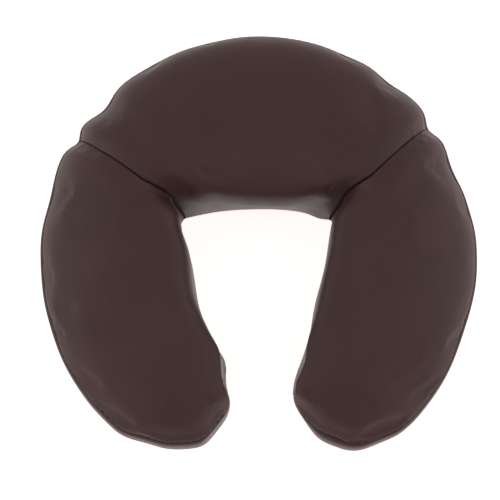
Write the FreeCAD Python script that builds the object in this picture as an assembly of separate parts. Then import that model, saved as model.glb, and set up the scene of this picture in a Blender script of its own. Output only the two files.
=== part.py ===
"""Face cradle cushion: a horseshoe headrest pad for a massage table, 300 x 295 x 70 mm.

The pad lies flat on a face cradle's frame, with its opening in the middle for the nose and mouth. A firm foam
slab carries a softer foam layer with rounded shoulders. A sewn leather cover closes round both: three panels
on top, an outer side band and a flat base panel. Three strips of loop tape sewn under the base panel grip the
hooks on the cradle's frame. Millimetres, +Z up. The origin is under the middle of the pad, level with the
underside of the tape. +Y points to the crown, which takes the forehead, and the two arms point along -Y.
"""

import FreeCAD, Part
import math
import os

from FreeCAD import Vector

# ---- Driving dimensions ----
WIDTH = 300.0  # across the two arms, at the outer seam
DEPTH = 295.0  # from the crown's edge to the tips of the arms
HEIGHT = 70.0  # from the underside of the tape to the top of the crown

LEATHER = 1.2  # polyurethane leather with its knitted backing
TAPE_THICKNESS = 1.6
TAPE_WIDTH = 25.0
SUPPORT_TOP = 40.0  # height of the joint between the firm and the soft foam

SEAM_HEIGHT = 42.0  # height of the outer seam, where the top panels meet the side band
SHOULDER_RADIUS = HEIGHT - SEAM_HEIGHT

CROWN_RADIUS = WIDTH / 2
TIP_RADIUS = 43.0
TIP_X = 67.0  # centre of an arm's rounded tip, from the middle
CREST_Y = 31.0  # top edge of the face opening, on the middle line
CREST_RADIUS = 150.0
CORNER_RADIUS = 10.0  # the opening's two upper corners
INNER_SIDE_TILT = 14.2  # degrees that each inner side leans out from the middle line

PANEL_SEAM_ANGLE = 36.0  # degrees above the X axis, from the corner of the opening to the outer seam
PANEL_SEAM_START = (51.5, 20.3)  # where that seam leaves the corner of the opening

RAMP_TOP_Y = -112.0  # on the inner side of an arm the outer seam starts to go down here
RAMP_BASE_Y = -76.0  # and it meets the base panel here, where the band runs out

THREAD_RADIUS = 0.4
STITCH_LENGTH = 3.6
STITCH_PITCH = 5.2
STITCH_CLEARANCE = 0.18  # a straight stitch still clears the tight curve of the opening's corners
SEAM_END_MARGIN = 3.0  # a seam's first stitch is this far from its end

CROWN_STRIP = {"length": 110.0, "centre": (0.0, 92.0), "angle": 0.0}
ARM_STRIP = {"length": 90.0, "centre": (88.0, -46.0), "angle": 82.0}
STRIP_STITCH_INSET = 2.5  # from the edge of the tape to its line of stitches
STRIP_CORNER_RADIUS = 3.0
STRIP_GROOVE_RADIUS = 1.1  # the pile parts this far round each stitch

# ---- Heights and places that follow from them ----
BASE_UNDERSIDE = TAPE_THICKNESS
BASE_TOP = BASE_UNDERSIDE + LEATHER
CROWN_Y = DEPTH / 2 - CROWN_RADIUS  # centre of the crown's arc
TIP_Y = TIP_RADIUS - DEPTH / 2
FAR = 400.0  # longer than the pad in every direction


def on_circle(centre, radius, degrees):
    """The point on a circle in the XY plane, at that angle from +X."""
    turn = math.radians(degrees)
    return centre + Vector(math.cos(turn), math.sin(turn), 0) * radius


def arc(centre, radius, start, end):
    """The arc of a circle from one angle to another, through the angle half way between them."""
    points = [on_circle(centre, radius, a) for a in (start, (start + end) / 2, end)]
    return Part.Arc(*points).toShape()


def mirrored(shape):
    """The shape on the other side of the middle line."""
    return shape.mirror(Vector(0, 0, 0), Vector(1, 0, 0))


def side_arc_radius():
    """Radius of the long arc that leaves the crown's arc at its widest point and ends tangent to the tip."""
    # The side arc's centre is at (CROWN_RADIUS - r, CROWN_Y), and lies r - TIP_RADIUS from the tip's centre.
    across = TIP_X - CROWN_RADIUS
    down = TIP_Y - CROWN_Y
    return (TIP_RADIUS**2 - across**2 - down**2) / (2 * (across + TIP_RADIUS))


def pad_outline():
    """The pad's closed plan outline: crown arc, side arcs, round tips and the four-sided face opening."""
    crown_centre = Vector(0, CROWN_Y, 0)
    tip_centre = Vector(TIP_X, TIP_Y, 0)
    side_radius = side_arc_radius()
    side_centre = Vector(CROWN_RADIUS - side_radius, CROWN_Y, 0)
    to_tip = tip_centre - side_centre
    tip_start = math.degrees(math.atan2(to_tip.y, to_tip.x))
    tip_end = -180.0 - INNER_SIDE_TILT

    half_crown = arc(crown_centre, CROWN_RADIUS, 90, 0)
    side = arc(side_centre, side_radius, 0, tip_start)
    tip = arc(tip_centre, TIP_RADIUS, tip_start, tip_end)

    # The inner side leaves the tip along its tangent. A circle inside the opening, tangent to that side
    # and to the crest's arc, rounds the corner between them.
    foot = on_circle(tip_centre, TIP_RADIUS, tip_end)
    tilt = math.radians(INNER_SIDE_TILT)
    up = Vector(math.sin(tilt), math.cos(tilt), 0)
    inward = Vector(-up.y, up.x, 0)
    crest_centre = Vector(0, CREST_Y - CREST_RADIUS, 0)
    near_side = foot + inward * CORNER_RADIUS
    reach = CREST_RADIUS - CORNER_RADIUS
    toward = crest_centre - near_side
    along = toward.dot(up)
    off = (toward - up * along).Length
    round_centre = near_side + up * (along + math.sqrt(reach**2 - off**2))
    side_end = round_centre - inward * CORNER_RADIUS
    from_crest = round_centre - crest_centre
    crest_turn = math.degrees(math.atan2(from_crest.y, from_crest.x))

    inner_side = Part.LineSegment(foot, side_end).toShape()
    corner_round = arc(round_centre, CORNER_RADIUS, -INNER_SIDE_TILT, crest_turn)
    half_crest = arc(crest_centre, CREST_RADIUS, crest_turn, 90)

    right = [half_crown, side, tip, inner_side, corner_round, half_crest]
    return Part.Wire(Part.__sortEdges__(right + [mirrored(e) for e in right]))


def offset_outline(inset):
    """The pad's outline moved into the pad by inset."""
    outline = pad_outline()
    return outline if inset == 0 else outline.makeOffset2D(-inset)


def slab(inset, low, high):
    """The pad's outline, moved in by inset, between two heights."""
    face = Part.Face(offset_outline(inset))
    face.translate(Vector(0, 0, low))
    return face.extrude(Vector(0, 0, high - low))


def rounded_pad(inset, low, high, shoulder):
    """A slab with its whole top edge rounded to the shoulder radius."""
    solid = slab(inset, low, high)
    top = [e for e in solid.Edges if min(v.Z for v in e.Vertexes) > high - 0.001]
    return solid.makeFillet(shoulder, top)


def prism(points, low, high):
    """A straight-sided solid on a plan polygon, between two heights."""
    corners = [Vector(x, y, low) for x, y in points]
    face = Part.Face(Part.makePolygon(corners + corners[:1]))
    return face.extrude(Vector(0, 0, high - low))


def panel_seam_direction():
    turn = math.radians(PANEL_SEAM_ANGLE)
    return Vector(math.cos(turn), math.sin(turn), 0)


def crown_wedge():
    """The wedge of space between the two panel seams, on the crown's side."""
    direction = panel_seam_direction()
    x, y = PANEL_SEAM_START
    apex_y = y - x * direction.y / direction.x
    far_x, far_y = direction.x * FAR, apex_y + direction.y * FAR
    return prism([(0, apex_y), (far_x, far_y), (0, FAR), (-far_x, far_y)], -1, HEIGHT + 1)


def inner_wall_zone():
    """The space whose part of the cover's wall belongs to the top panels, down to the base panel."""
    profile = [
        Vector(-TIP_X, RAMP_TOP_Y, SEAM_HEIGHT),
        Vector(-TIP_X, RAMP_BASE_Y, BASE_TOP),
        Vector(-TIP_X, CREST_Y + 2 * LEATHER, BASE_TOP),
        Vector(-TIP_X, CREST_Y + 2 * LEATHER, SEAM_HEIGHT),
    ]
    face = Part.Face(Part.makePolygon(profile + profile[:1]))
    return face.extrude(Vector(2 * TIP_X, 0, 0))


def cover_parts():
    """The top panels, the side band and the base panel, cut from the cover's one closed skin."""
    outside = rounded_pad(0, BASE_UNDERSIDE, HEIGHT, SHOULDER_RADIUS)
    inside = rounded_pad(LEATHER, BASE_TOP, HEIGHT - LEATHER, SHOULDER_RADIUS - LEATHER)
    skin = outside.cut(inside)

    base_panel = slab(0, BASE_UNDERSIDE, BASE_TOP)
    walls = skin.cut(base_panel)
    above = Part.makeBox(2 * FAR, 2 * FAR, FAR, Vector(-FAR, -FAR, SEAM_HEIGHT))
    top_zone = above.fuse(inner_wall_zone())
    outer_band = walls.cut(top_zone)
    top = walls.common(top_zone)
    crown_panel = top.common(crown_wedge())
    cheeks = top.cut(crown_wedge())
    left, right = sorted(cheeks.Solids, key=lambda s: s.CenterOfMass.x)
    return {
        "crown_panel": crown_panel,
        "left_cheek_panel": left,
        "right_cheek_panel": right,
        "outer_band": outer_band,
        "base_panel": base_panel,
    }


def foam_parts():
    """The firm slab and the soft layer glued on it."""
    shoulder = SHOULDER_RADIUS - LEATHER
    return {
        "support_foam": slab(LEATHER, BASE_TOP, SUPPORT_TOP),
        "comfort_foam": rounded_pad(LEATHER, SUPPORT_TOP, HEIGHT - LEATHER, shoulder),
    }


def stitch(middle, along, outward):
    """One stitch: a short bar of thread that lies along the seam, on the leather's surface."""
    centre = middle + outward * (THREAD_RADIUS + STITCH_CLEARANCE)
    start = centre - along * (STITCH_LENGTH / 2)
    return Part.makeCylinder(THREAD_RADIUS, STITCH_LENGTH, start, along)


def stitches(points, outward_at):
    """A row of stitches at the points, each with the outward direction that outward_at gives."""
    row = []
    for before, here, after in zip(points, points[1:], points[2:]):
        along = (after - before).normalize()
        row.append(stitch(here, along, outward_at(here, along)))
    return Part.makeCompound(row)


def level_outward(here, along):
    """Outward from a wall: square to the seam and level. The outline runs clockwise, seen from above."""
    level = Vector(along.x, along.y, 0).normalize()
    return Vector(-level.y, level.x, 0)


def outline_points():
    """Points one stitch apart round the outline, clockwise, from the middle of the crest."""
    points = pad_outline().discretize(Distance=STITCH_PITCH)
    start = min(range(len(points)), key=lambda i: (points[i] - Vector(0, CREST_Y, 0)).Length)
    points = points[start:] + points[:start]
    twice_area = sum(a.x * b.y - b.x * a.y for a, b in zip(points, points[1:] + points[:1]))
    return points if twice_area < 0 else points[::-1]


def outer_seam_height(point):
    """Height of the outer seam over the outline. On an arm's inner side it ramps down to the base."""
    inner_side = abs(point.x) < TIP_X and point.y > RAMP_TOP_Y and point.y < CREST_Y + LEATHER
    if not inner_side:
        return SEAM_HEIGHT
    share = (point.y - RAMP_TOP_Y) / (RAMP_BASE_Y - RAMP_TOP_Y)
    return SEAM_HEIGHT + share * (BASE_TOP - SEAM_HEIGHT)


def outer_seam_stitches():
    """Stitches along the seam between the top panels and the side band, tip to tip round the outside."""
    raised = [Vector(p.x, p.y, outer_seam_height(p)) for p in outline_points()]
    kept = [p for p in raised if p.z > BASE_TOP + SEAM_END_MARGIN]
    return stitches(kept, level_outward)


def base_seam_stitches():
    """Stitches round the foot of the cover, where the base panel closes it."""
    height = BASE_TOP + THREAD_RADIUS
    points = [Vector(p.x, p.y, height) for p in outline_points()]
    return stitches(points + points[:2], level_outward)


def right_panel_seam_stitches():
    """Stitches over the top and down the inner wall, where the right cheek panel meets the crown panel."""
    direction = panel_seam_direction()
    normal = Vector(-direction.y, direction.x, 0)
    start = Vector(*PANEL_SEAM_START, 0)
    outside = rounded_pad(0, BASE_UNDERSIDE, HEIGHT, SHOULDER_RADIUS)
    sections = outside.slice(normal, normal.dot(start))
    section = max(sections, key=lambda w: w.BoundBox.Center.dot(direction))
    middle = section.BoundBox.Center

    def outward(here, along):
        square = along.cross(normal).normalize()
        return square if square.dot(here - middle) > 0 else square * -1

    def on_seam(point):
        out_side = (point - middle).dot(direction) > 0
        foot = SEAM_HEIGHT if out_side else BASE_TOP
        return point.z > foot + SEAM_END_MARGIN

    points = section.discretize(Distance=STITCH_PITCH)
    first = next(i for i, p in enumerate(points) if not on_seam(p))
    points = points[first:] + points[:first]
    return stitches([p for p in points if on_seam(p)], outward)


def strip_plate(strip, side, inset):
    """A flat plate of the tape's thickness, where the strip lies, smaller by inset on every side."""
    long, wide = strip["length"] / 2 - inset, TAPE_WIDTH / 2 - inset
    plate = Part.makeBox(2 * long, 2 * wide, TAPE_THICKNESS, Vector(-long, -wide, 0))
    if inset == 0:
        upright = [e for e in plate.Edges if e.BoundBox.ZLength > TAPE_THICKNESS / 2]
        plate = plate.makeFillet(STRIP_CORNER_RADIUS, upright)
    plate.rotate(Vector(0, 0, 0), Vector(0, 0, 1), side * strip["angle"])
    plate.translate(Vector(side * strip["centre"][0], strip["centre"][1], 0))
    return plate


def strip_parts(name, strip, side):
    """A strip of loop tape and the box of stitches that holds it, sunk in the tape's underside."""
    tape = strip_plate(strip, side, 0)
    line = strip_plate(strip, side, STRIP_STITCH_INSET)
    outline = min(line.Faces, key=lambda f: f.CenterOfMass.z).OuterWire
    row = []
    grooves = []
    for edge in outline.Edges:
        count = int(edge.Length // STITCH_PITCH)
        start, end = (v.Point for v in edge.Vertexes)
        along = (end - start).normalize()
        for i in range(count):
            middle = start + along * ((i + 0.5) * edge.Length / count)
            middle.z = THREAD_RADIUS + STITCH_CLEARANCE
            foot = middle - along * (STITCH_LENGTH / 2)
            row.append(Part.makeCylinder(THREAD_RADIUS, STITCH_LENGTH, foot, along))
            groove_foot = foot - along * STITCH_CLEARANCE
            groove_foot.z = 0
            groove_length = STITCH_LENGTH + 2 * STITCH_CLEARANCE
            grooves.append(Part.makeCylinder(STRIP_GROOVE_RADIUS, groove_length, groove_foot, along))
    tape = tape.cut(Part.makeCompound(grooves))
    return {f"{name}_loop_strip": tape, f"{name}_strip_stitches": Part.makeCompound(row)}


def main():
    parts = {}
    parts.update(foam_parts())
    parts.update(cover_parts())
    parts["outer_seam_stitches"] = outer_seam_stitches()
    parts["base_seam_stitches"] = base_seam_stitches()
    parts["right_panel_seam_stitches"] = right_panel_seam_stitches()
    parts["left_panel_seam_stitches"] = mirrored(parts["right_panel_seam_stitches"])
    parts.update(strip_parts("crown", CROWN_STRIP, 1))
    parts.update(strip_parts("left_arm", ARM_STRIP, -1))
    parts.update(strip_parts("right_arm", ARM_STRIP, 1))

    os.makedirs("parts", exist_ok=True)
    for name, shape in parts.items():
        shape.exportStep(f"parts/{name}.step")
        box = shape.BoundBox
        print(f"{name}: {len(shape.Solids)} solids, {shape.Volume:.0f} mm3, valid {shape.isValid()}, "
              f"z {box.ZMin:.2f} to {box.ZMax:.2f}")


main()
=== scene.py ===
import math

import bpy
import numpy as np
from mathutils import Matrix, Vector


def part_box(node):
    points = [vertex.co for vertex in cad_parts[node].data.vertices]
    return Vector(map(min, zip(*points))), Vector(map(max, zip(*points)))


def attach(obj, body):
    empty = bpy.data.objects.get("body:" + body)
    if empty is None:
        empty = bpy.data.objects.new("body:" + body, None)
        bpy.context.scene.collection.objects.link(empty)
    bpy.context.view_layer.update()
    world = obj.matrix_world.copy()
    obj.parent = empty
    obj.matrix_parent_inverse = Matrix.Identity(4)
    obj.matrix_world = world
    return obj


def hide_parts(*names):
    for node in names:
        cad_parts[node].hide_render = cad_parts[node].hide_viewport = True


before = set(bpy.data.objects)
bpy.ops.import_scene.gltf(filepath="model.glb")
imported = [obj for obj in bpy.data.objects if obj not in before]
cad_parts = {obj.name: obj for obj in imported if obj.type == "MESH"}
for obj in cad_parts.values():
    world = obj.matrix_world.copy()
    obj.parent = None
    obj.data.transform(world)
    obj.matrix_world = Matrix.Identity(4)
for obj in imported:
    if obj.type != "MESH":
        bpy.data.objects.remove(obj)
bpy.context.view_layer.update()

# The looks of a face cradle cushion: a dark brown leather horseshoe pad, sewn from three top panels, a side
# band and a base panel over two layers of foam, with loop tape underneath. The shapes are worked out in
# millimetres in the frame's axes, and a mesh is scaled to metres as it is made.

MM = 0.001


def node_box(node):
    """A CAD node's lowest and highest corners, in millimetres."""
    low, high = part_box(node)
    return np.array(low) / MM, np.array(high) / MM


# ---- Sizes from the frame ----
BASE_LOW, BASE_HIGH = node_box("base_panel")
HALF_WIDTH = BASE_HIGH[0]
CROWN_EDGE = BASE_HIGH[1]
TIP_EDGE = BASE_LOW[1]
BASE_UNDERSIDE = BASE_LOW[2]
BASE_TOP = BASE_HIGH[2]
SEAM_HEIGHT = node_box("outer_band")[1][2]
TOP_HEIGHT = node_box("crown_panel")[1][2]
FOAM_JOINT = node_box("support_foam")[1][2]

# ---- The plan outline, as arcs that meet smoothly ----
CROWN_Y = CROWN_EDGE - HALF_WIDTH
TIP_RADIUS = 43.0
TIP_X = 67.0
TIP_Y = TIP_EDGE + TIP_RADIUS
CREST_Y = 31.0
CREST_RADIUS = 150.0
CORNER_RADIUS = 5.0
INNER_SIDE_TILT = 14.2
PATH_STEP = 0.5

# How the sewn pad departs from its pattern, square to the outline: place, how far out, and reach along it.
STRAY = [
    ((-25, -116), 6.8, 17),
    ((-27, -86), 1.8, 13),
    ((-38, -138), 4.2, 12),
    ((-79, -147), -6, 22),
    ((-105, -127), -0.8, 12),
    ((-149, -48), 0.9, 20),
    ((-131, -84), 1.4, 26),
    ((-147, 28), -2.6, 20),
    ((-130, 71), -5.2, 8),
    ((-112, 96), -5.9, 15),
    ((-77, 126), -1.6, 26),
    ((-35, 143), -1, 18),
    ((62, 134), -1, 14),
    ((94, 114), -2.6, 14),
    ((124, 81), -5.6, 9.5),
    ((140, 50), -5.4, 22),
    ((147, 20), -1.6, 14),
    ((150, -34), 1.3, 26),
    ((126, -96), 1.2, 26),
    ((84, -145), -4, 18),
    ((50, -144), -3.6, 15),
    ((26, -112), 1.4, 11),
    ((33, -66), -2.9, 22),
    ((46, -18), -1.7, 24),
    ((44, 25), 1.7, 7),
    ((-5, 31), 1, 25),
    ((-49, 5), -3.2, 15),
    ((-39, -42), -2.9, 24),
]
# Where only the foot of the opening's wall bulges, and its top stays on the pattern.
LOW_BULGES = [
    ((-28.5, -82), 3.4, 12),
    ((26, -96), 1, 12),
]
LOW_BULGE_TOP = (0.1, 0.55)
# Where the side band bulges out below its seam.
BAND_BULGES = [
    ((50, -144), 2.2, 14),
]
# Where the foot of the side band is drawn in under the seam.
FOOT_TUCKS = [
    ((28, -124), 3.2, 13),
]
SEAM_ENDS = {"left": ((-124.9, 68.9), (-51.0, 22.2)), "right": ((120.8, 79.2), (51.1, 21.5))}
# How far each panel seam bends towards the arms where it crosses the spine, and its reach along the spine.
SEAM_BEND = {"left": 5.0, "right": 5.2}
SEAM_BEND_REACH = 38.0

# ---- The cross-section ----
SPINE_SHARE = 0.66
EDGE_FULLNESS = -0.5
EDGE_ROLL_SHARE = 0.28
EDGE_ROLL_REACH = 5.5
EDGE_ROLL_FADE_Y = (-60.0, -110.0)
EDGE_ROLL_FADE_OUT = (0.1, 0.9)
WALL_SHOULDER = 0.42
CREST_SHOULDER = 0.66
CREST_SHOULDER_Y = (8.0, 24.0)
SHOULDER_STEPS = 64
WALL_STEPS = 14
RAMP_TOP_Y = -112.0
RAMP_BASE_Y = -76.0
WALL_BLEND_Y = (-128.0, -98.0)
WALL_BULGE = 0.4
BASE_INSET = 1.4
FULL_BAND_HEIGHT = 30.0
ARM_DROP = 9.0
ARM_DROP_Y = (-10.0, -125.0)
ROWS = 46
ROW_CROWDING = 1.45
LEATHER = 1.1
STITCH_PITCH = 5.2
COLUMN_STEP = STITCH_PITCH / 4
SEAM_COLUMNS = (0.0, 0.15, 0.4, 0.8, 1.4, 2.2, 3.3)
STITCH_MARGIN = 1.5
THREAD_INSET = 1.2
GROOVE_DEPTH = 1.9
GROOVE_REACH = 0.5
GROOVE_SHARPNESS = 1.1
GROOVE_SHARE_AT_CORNER = 1.1
GROOVE_LOSS = 0.65
GROOVE_LOSS_LENGTH = (20.0, 60.0)
TUCK = 1.7
TUCK_REACH = 0.9
TUCK_SHARPNESS = 1.4
BACK_GROOVE_SHARE = 1.2
BACK_TUCK_SHARE = 1.7
BACK_REACH = 2.2
WALL_TUCK_LOSS = 0.4
SCALLOP = 0.3
BAND_ROWS = 24
BAND_LEAST_HEIGHT = 0.4
BAND_TIP_Y = (-70.0, -125.0)
BAND_FACING_IN = (0.3, 0.8)
BAND_LIP = 1.7
LIP_TURN = 1.5
TIP_LIP = 2.5
TIP_LIP_TURN = 5.0
CLOTH_STRIDE = 4
CLOTH_ROW_STRIDE = 2
CLOTH_FRAMES = 20
CLOTH_PRESSURE = 1.2
CLOTH_SHRINK = -0.005
CLOTH_MOST_OUT = 2.2
CLOTH_MOST_IN = 0.4
CLOTH_WALL_HOLD = 0.85
FOAM_ROWS = 20
FOAM_LAYER_GAP = 0.05
FOAM_EDGE_ROUND = 0.6
FOAM_THINNEST = 0.1
FOAM_GAP = 0.5
SEAM_RELIEF = 3.2
SEAM_RELIEF_HALF_WIDTH = 3.5
BASE_CLOTH = 0.7
BASE_ROWS = 24
BASE_RIM_INSET = 0.9
BASE_EDGE_GAP = 0.1
BASE_RIM_LIFT = 0.9
BASE_RIM_REACH = 1.6

# Where the wall of the opening leans back instead of standing upright: place, how far at the top, and reach.
LEANING_WALL = [
    ((-32, 27), 2, 6.5),
    ((-51.5, 21.5), 10, 5.5),
    ((51.5, 21.5), 8, 6),
    ((44, 26), 7, 8.5),
    ((-4, 31), -3.1, 17),
    ((17, 31), -3.1, 17),
    ((-28, 29), -3.5, 25),
    ((2, 30), -2.5, 40),
    ((32, 29), -3.6, 25),
    ((26, -93), 4, 13),
    ((-40, -50), 2.4, 30),
    ((-25, -104), 4.5, 12),
    ((40, -40), 1.6, 30),
]
# How the panel seams draw the cover down into the opening's corners: the share of its height, and the reach
# along the seam and to each side of it.
CORNER_DRAW = {"left": 0.17, "right": 0.125}
CORNER_DRAW_LENGTH = 22.0
CORNER_DRAW_HALF_WIDTH = 9.0
# Dents in the top beside the opening's corners: the line they follow, their depth, and their half width.
DENTS = [
    ((-36.0, 38.0), (-42.0, 44.0), 0.8, 2.6),
    ((-36.0, 38.0), (-27.0, 37.0), 0.8, 3.0),
    ((46.0, 38.5), (54.0, 43.0), 1.8, 6.0),
]
# The hollow along each panel seam: its depth, where it fades out from the corner on, and its half widths.
HOLLOW_DEPTH = {"left": 0.3, "right": 0.2}
HOLLOW_FADE = (4.0, 42.0)
HOLLOW_HALF_WIDTH = {"crown": 9.0, "cheek": 4.5}
SEAM_DIP = 1.2
SEAM_DIP_HALF_WIDTH = 8.0
# Round the end of the spine at each tip the heights are averaged: fully up to the first distance, and not at
# all beyond the second.
TIP_SMOOTHING = (16.0, 62.0)
AVERAGE_CELL = 2.0
AVERAGE_REACH = 9.0
# Heights above the outer seam over which a change to the top of the cover sets in.
DENT_RISE = (4.0, 20.0)
TIP_RISE = (4.0, 12.0)
CLOTH_RISE = (8.0, 22.0)


# ---- Small sums that many shapes share ----

def smooth(value, start, end):
    """0 before start, 1 after end, and an even curve between them."""
    share = np.clip((value - start) / (end - start), 0, 1)
    return share * share * (3 - 2 * share)


def bell(distance, reach, power=2):
    """1 at no distance, fading to nothing a few reaches away."""
    return np.exp(-((distance / reach) ** power))


def lengths(vectors):
    return np.linalg.norm(vectors, axis=1)


def unit(vector):
    return vector / np.linalg.norm(vector)


def spread(plan, places):
    """Amounts that fade away round their places, as (place, amount, reach), summed at points in plan."""
    return sum(amount * bell(lengths(plan - np.array(place)), reach) for place, amount, reach in places)


def interpolated(at, along, values):
    """The rows of values at some distances, where each row's own distance is in along."""
    return np.stack([np.interp(at, along, values[:, k]) for k in range(values.shape[1])], axis=-1)


# ---- Plan paths ----

def arc(centre, radius, start, end):
    """Points PATH_STEP apart along an arc, from one angle in degrees to another."""
    count = max(2, int(abs(math.radians(end - start)) * radius / PATH_STEP))
    turn = np.radians(np.linspace(start, end, count))
    return np.stack([centre[0] + radius * np.cos(turn), centre[1] + radius * np.sin(turn)], axis=1)


def line(start, end):
    """Points PATH_STEP apart along a straight line."""
    start, end = np.array(start, float), np.array(end, float)
    count = max(2, int(np.linalg.norm(end - start) / PATH_STEP))
    return start + np.linspace(0, 1, count)[:, None] * (end - start)


def arc_lengths(points):
    """How far along the path each point lies."""
    return np.concatenate([[0.0], np.cumsum(lengths(np.diff(points, axis=0)))])


def joined(pieces):
    """Several runs of points as one path, without the points that repeat."""
    points = np.concatenate(pieces)
    return points[np.concatenate([[True], lengths(np.diff(points, axis=0)) > 1e-6])]


def on_path(path, at):
    """Points of a path at those distances along it."""
    return interpolated(at, arc_lengths(path), path)


def place_on(path, point):
    """How far along the path its nearest point to a given one lies."""
    return arc_lengths(path)[lengths(path - np.array(point)).argmin()]


def side_of(path):
    """Unit vectors square to the path, to its left."""
    along = np.gradient(path, axis=0)
    along /= lengths(along)[:, None]
    return np.stack([-along[:, 1], along[:, 0]], axis=1)


def strayed(loop):
    """The closed outline moved square to itself. The pad lies to the right of the path."""
    return loop + side_of(loop) * spread(loop, STRAY + LOW_BULGES)[:, None]


def right_half_paths():
    """The right half's outer path, from the crown's middle to the tip's inner side, and its inner path."""
    across, down = TIP_X - HALF_WIDTH, TIP_Y - CROWN_Y
    side_radius = (TIP_RADIUS**2 - across**2 - down**2) / (2 * (across + TIP_RADIUS))
    side_centre = (HALF_WIDTH - side_radius, CROWN_Y)
    tip_start = math.degrees(math.atan2(TIP_Y - CROWN_Y, TIP_X - side_centre[0]))
    tip = (TIP_X, TIP_Y)
    outer = joined([
        arc((0.0, CROWN_Y), HALF_WIDTH, 90, 0),
        arc(side_centre, side_radius, 0, tip_start),
        arc(tip, TIP_RADIUS, tip_start, -180),
    ])

    tilt = math.radians(INNER_SIDE_TILT)
    up = np.array([math.sin(tilt), math.cos(tilt)])
    inward = np.array([-up[1], up[0]])
    foot = np.array(tip) - TIP_RADIUS * np.array([math.cos(tilt), -math.sin(tilt)])
    crest_centre = np.array([0.0, CREST_Y - CREST_RADIUS])
    toward = crest_centre - (foot + inward * CORNER_RADIUS)
    reach = CREST_RADIUS - CORNER_RADIUS
    rise = toward @ up + math.sqrt(reach**2 - (toward @ inward) ** 2)
    round_centre = foot + inward * CORNER_RADIUS + up * rise
    from_crest = round_centre - crest_centre
    crest_turn = math.degrees(math.atan2(from_crest[1], from_crest[0]))
    inner = joined([
        arc(tip, TIP_RADIUS, -180, -180 - INNER_SIDE_TILT),
        line(foot, round_centre - inward * CORNER_RADIUS),
        arc(round_centre, CORNER_RADIUS, -INNER_SIDE_TILT, crest_turn),
        arc(crest_centre, CREST_RADIUS, crest_turn, 90),
    ])
    return outer, inner


def mirror(path):
    """The same path on the other side, run the other way."""
    return path[::-1] * np.array([-1.0, 1.0])


def pad_loop():
    """The closed outline, clockwise from the left tip's inner side, and its length up to the right one's."""
    outer, inner = right_half_paths()
    outer = joined([mirror(outer), outer])
    inner = joined([inner * (-1.0, 1.0), inner[::-1]])
    loop = strayed(joined([outer, inner[::-1]]))
    loop[-1] = loop[0] = (loop[0] + loop[-1]) / 2
    return loop, arc_lengths(loop)[len(outer) - 1]


# ---- The cover's grid ----
# Columns run from the pad's edge, across the top, to the spine along its middle. Each station has one column
# from the outer edge and one from the opening's edge, and round a tip all columns end at the spine's end.

def stations(length, fine_start, fine_end):
    """Shares of a run's length, a column step apart, and closer together beside a panel seam."""
    fine = np.array(SEAM_COLUMNS)
    low = fine[-1] if fine_start else 0.0
    high = length - (fine[-1] if fine_end else 0.0)
    middle = np.linspace(low, high, int(round((high - low) / COLUMN_STEP)) + 1)
    parts = [fine[:-1]] if fine_start else []
    parts.append(middle)
    if fine_end:
        parts.append(length - fine[-2::-1])
    return np.concatenate(parts) / length


def crownward(step):
    """The unit vector square to a step in plan that points towards the crown."""
    square = unit(np.array([-step[1], step[0]]))
    return square if square[1] > 0 else -square


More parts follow.
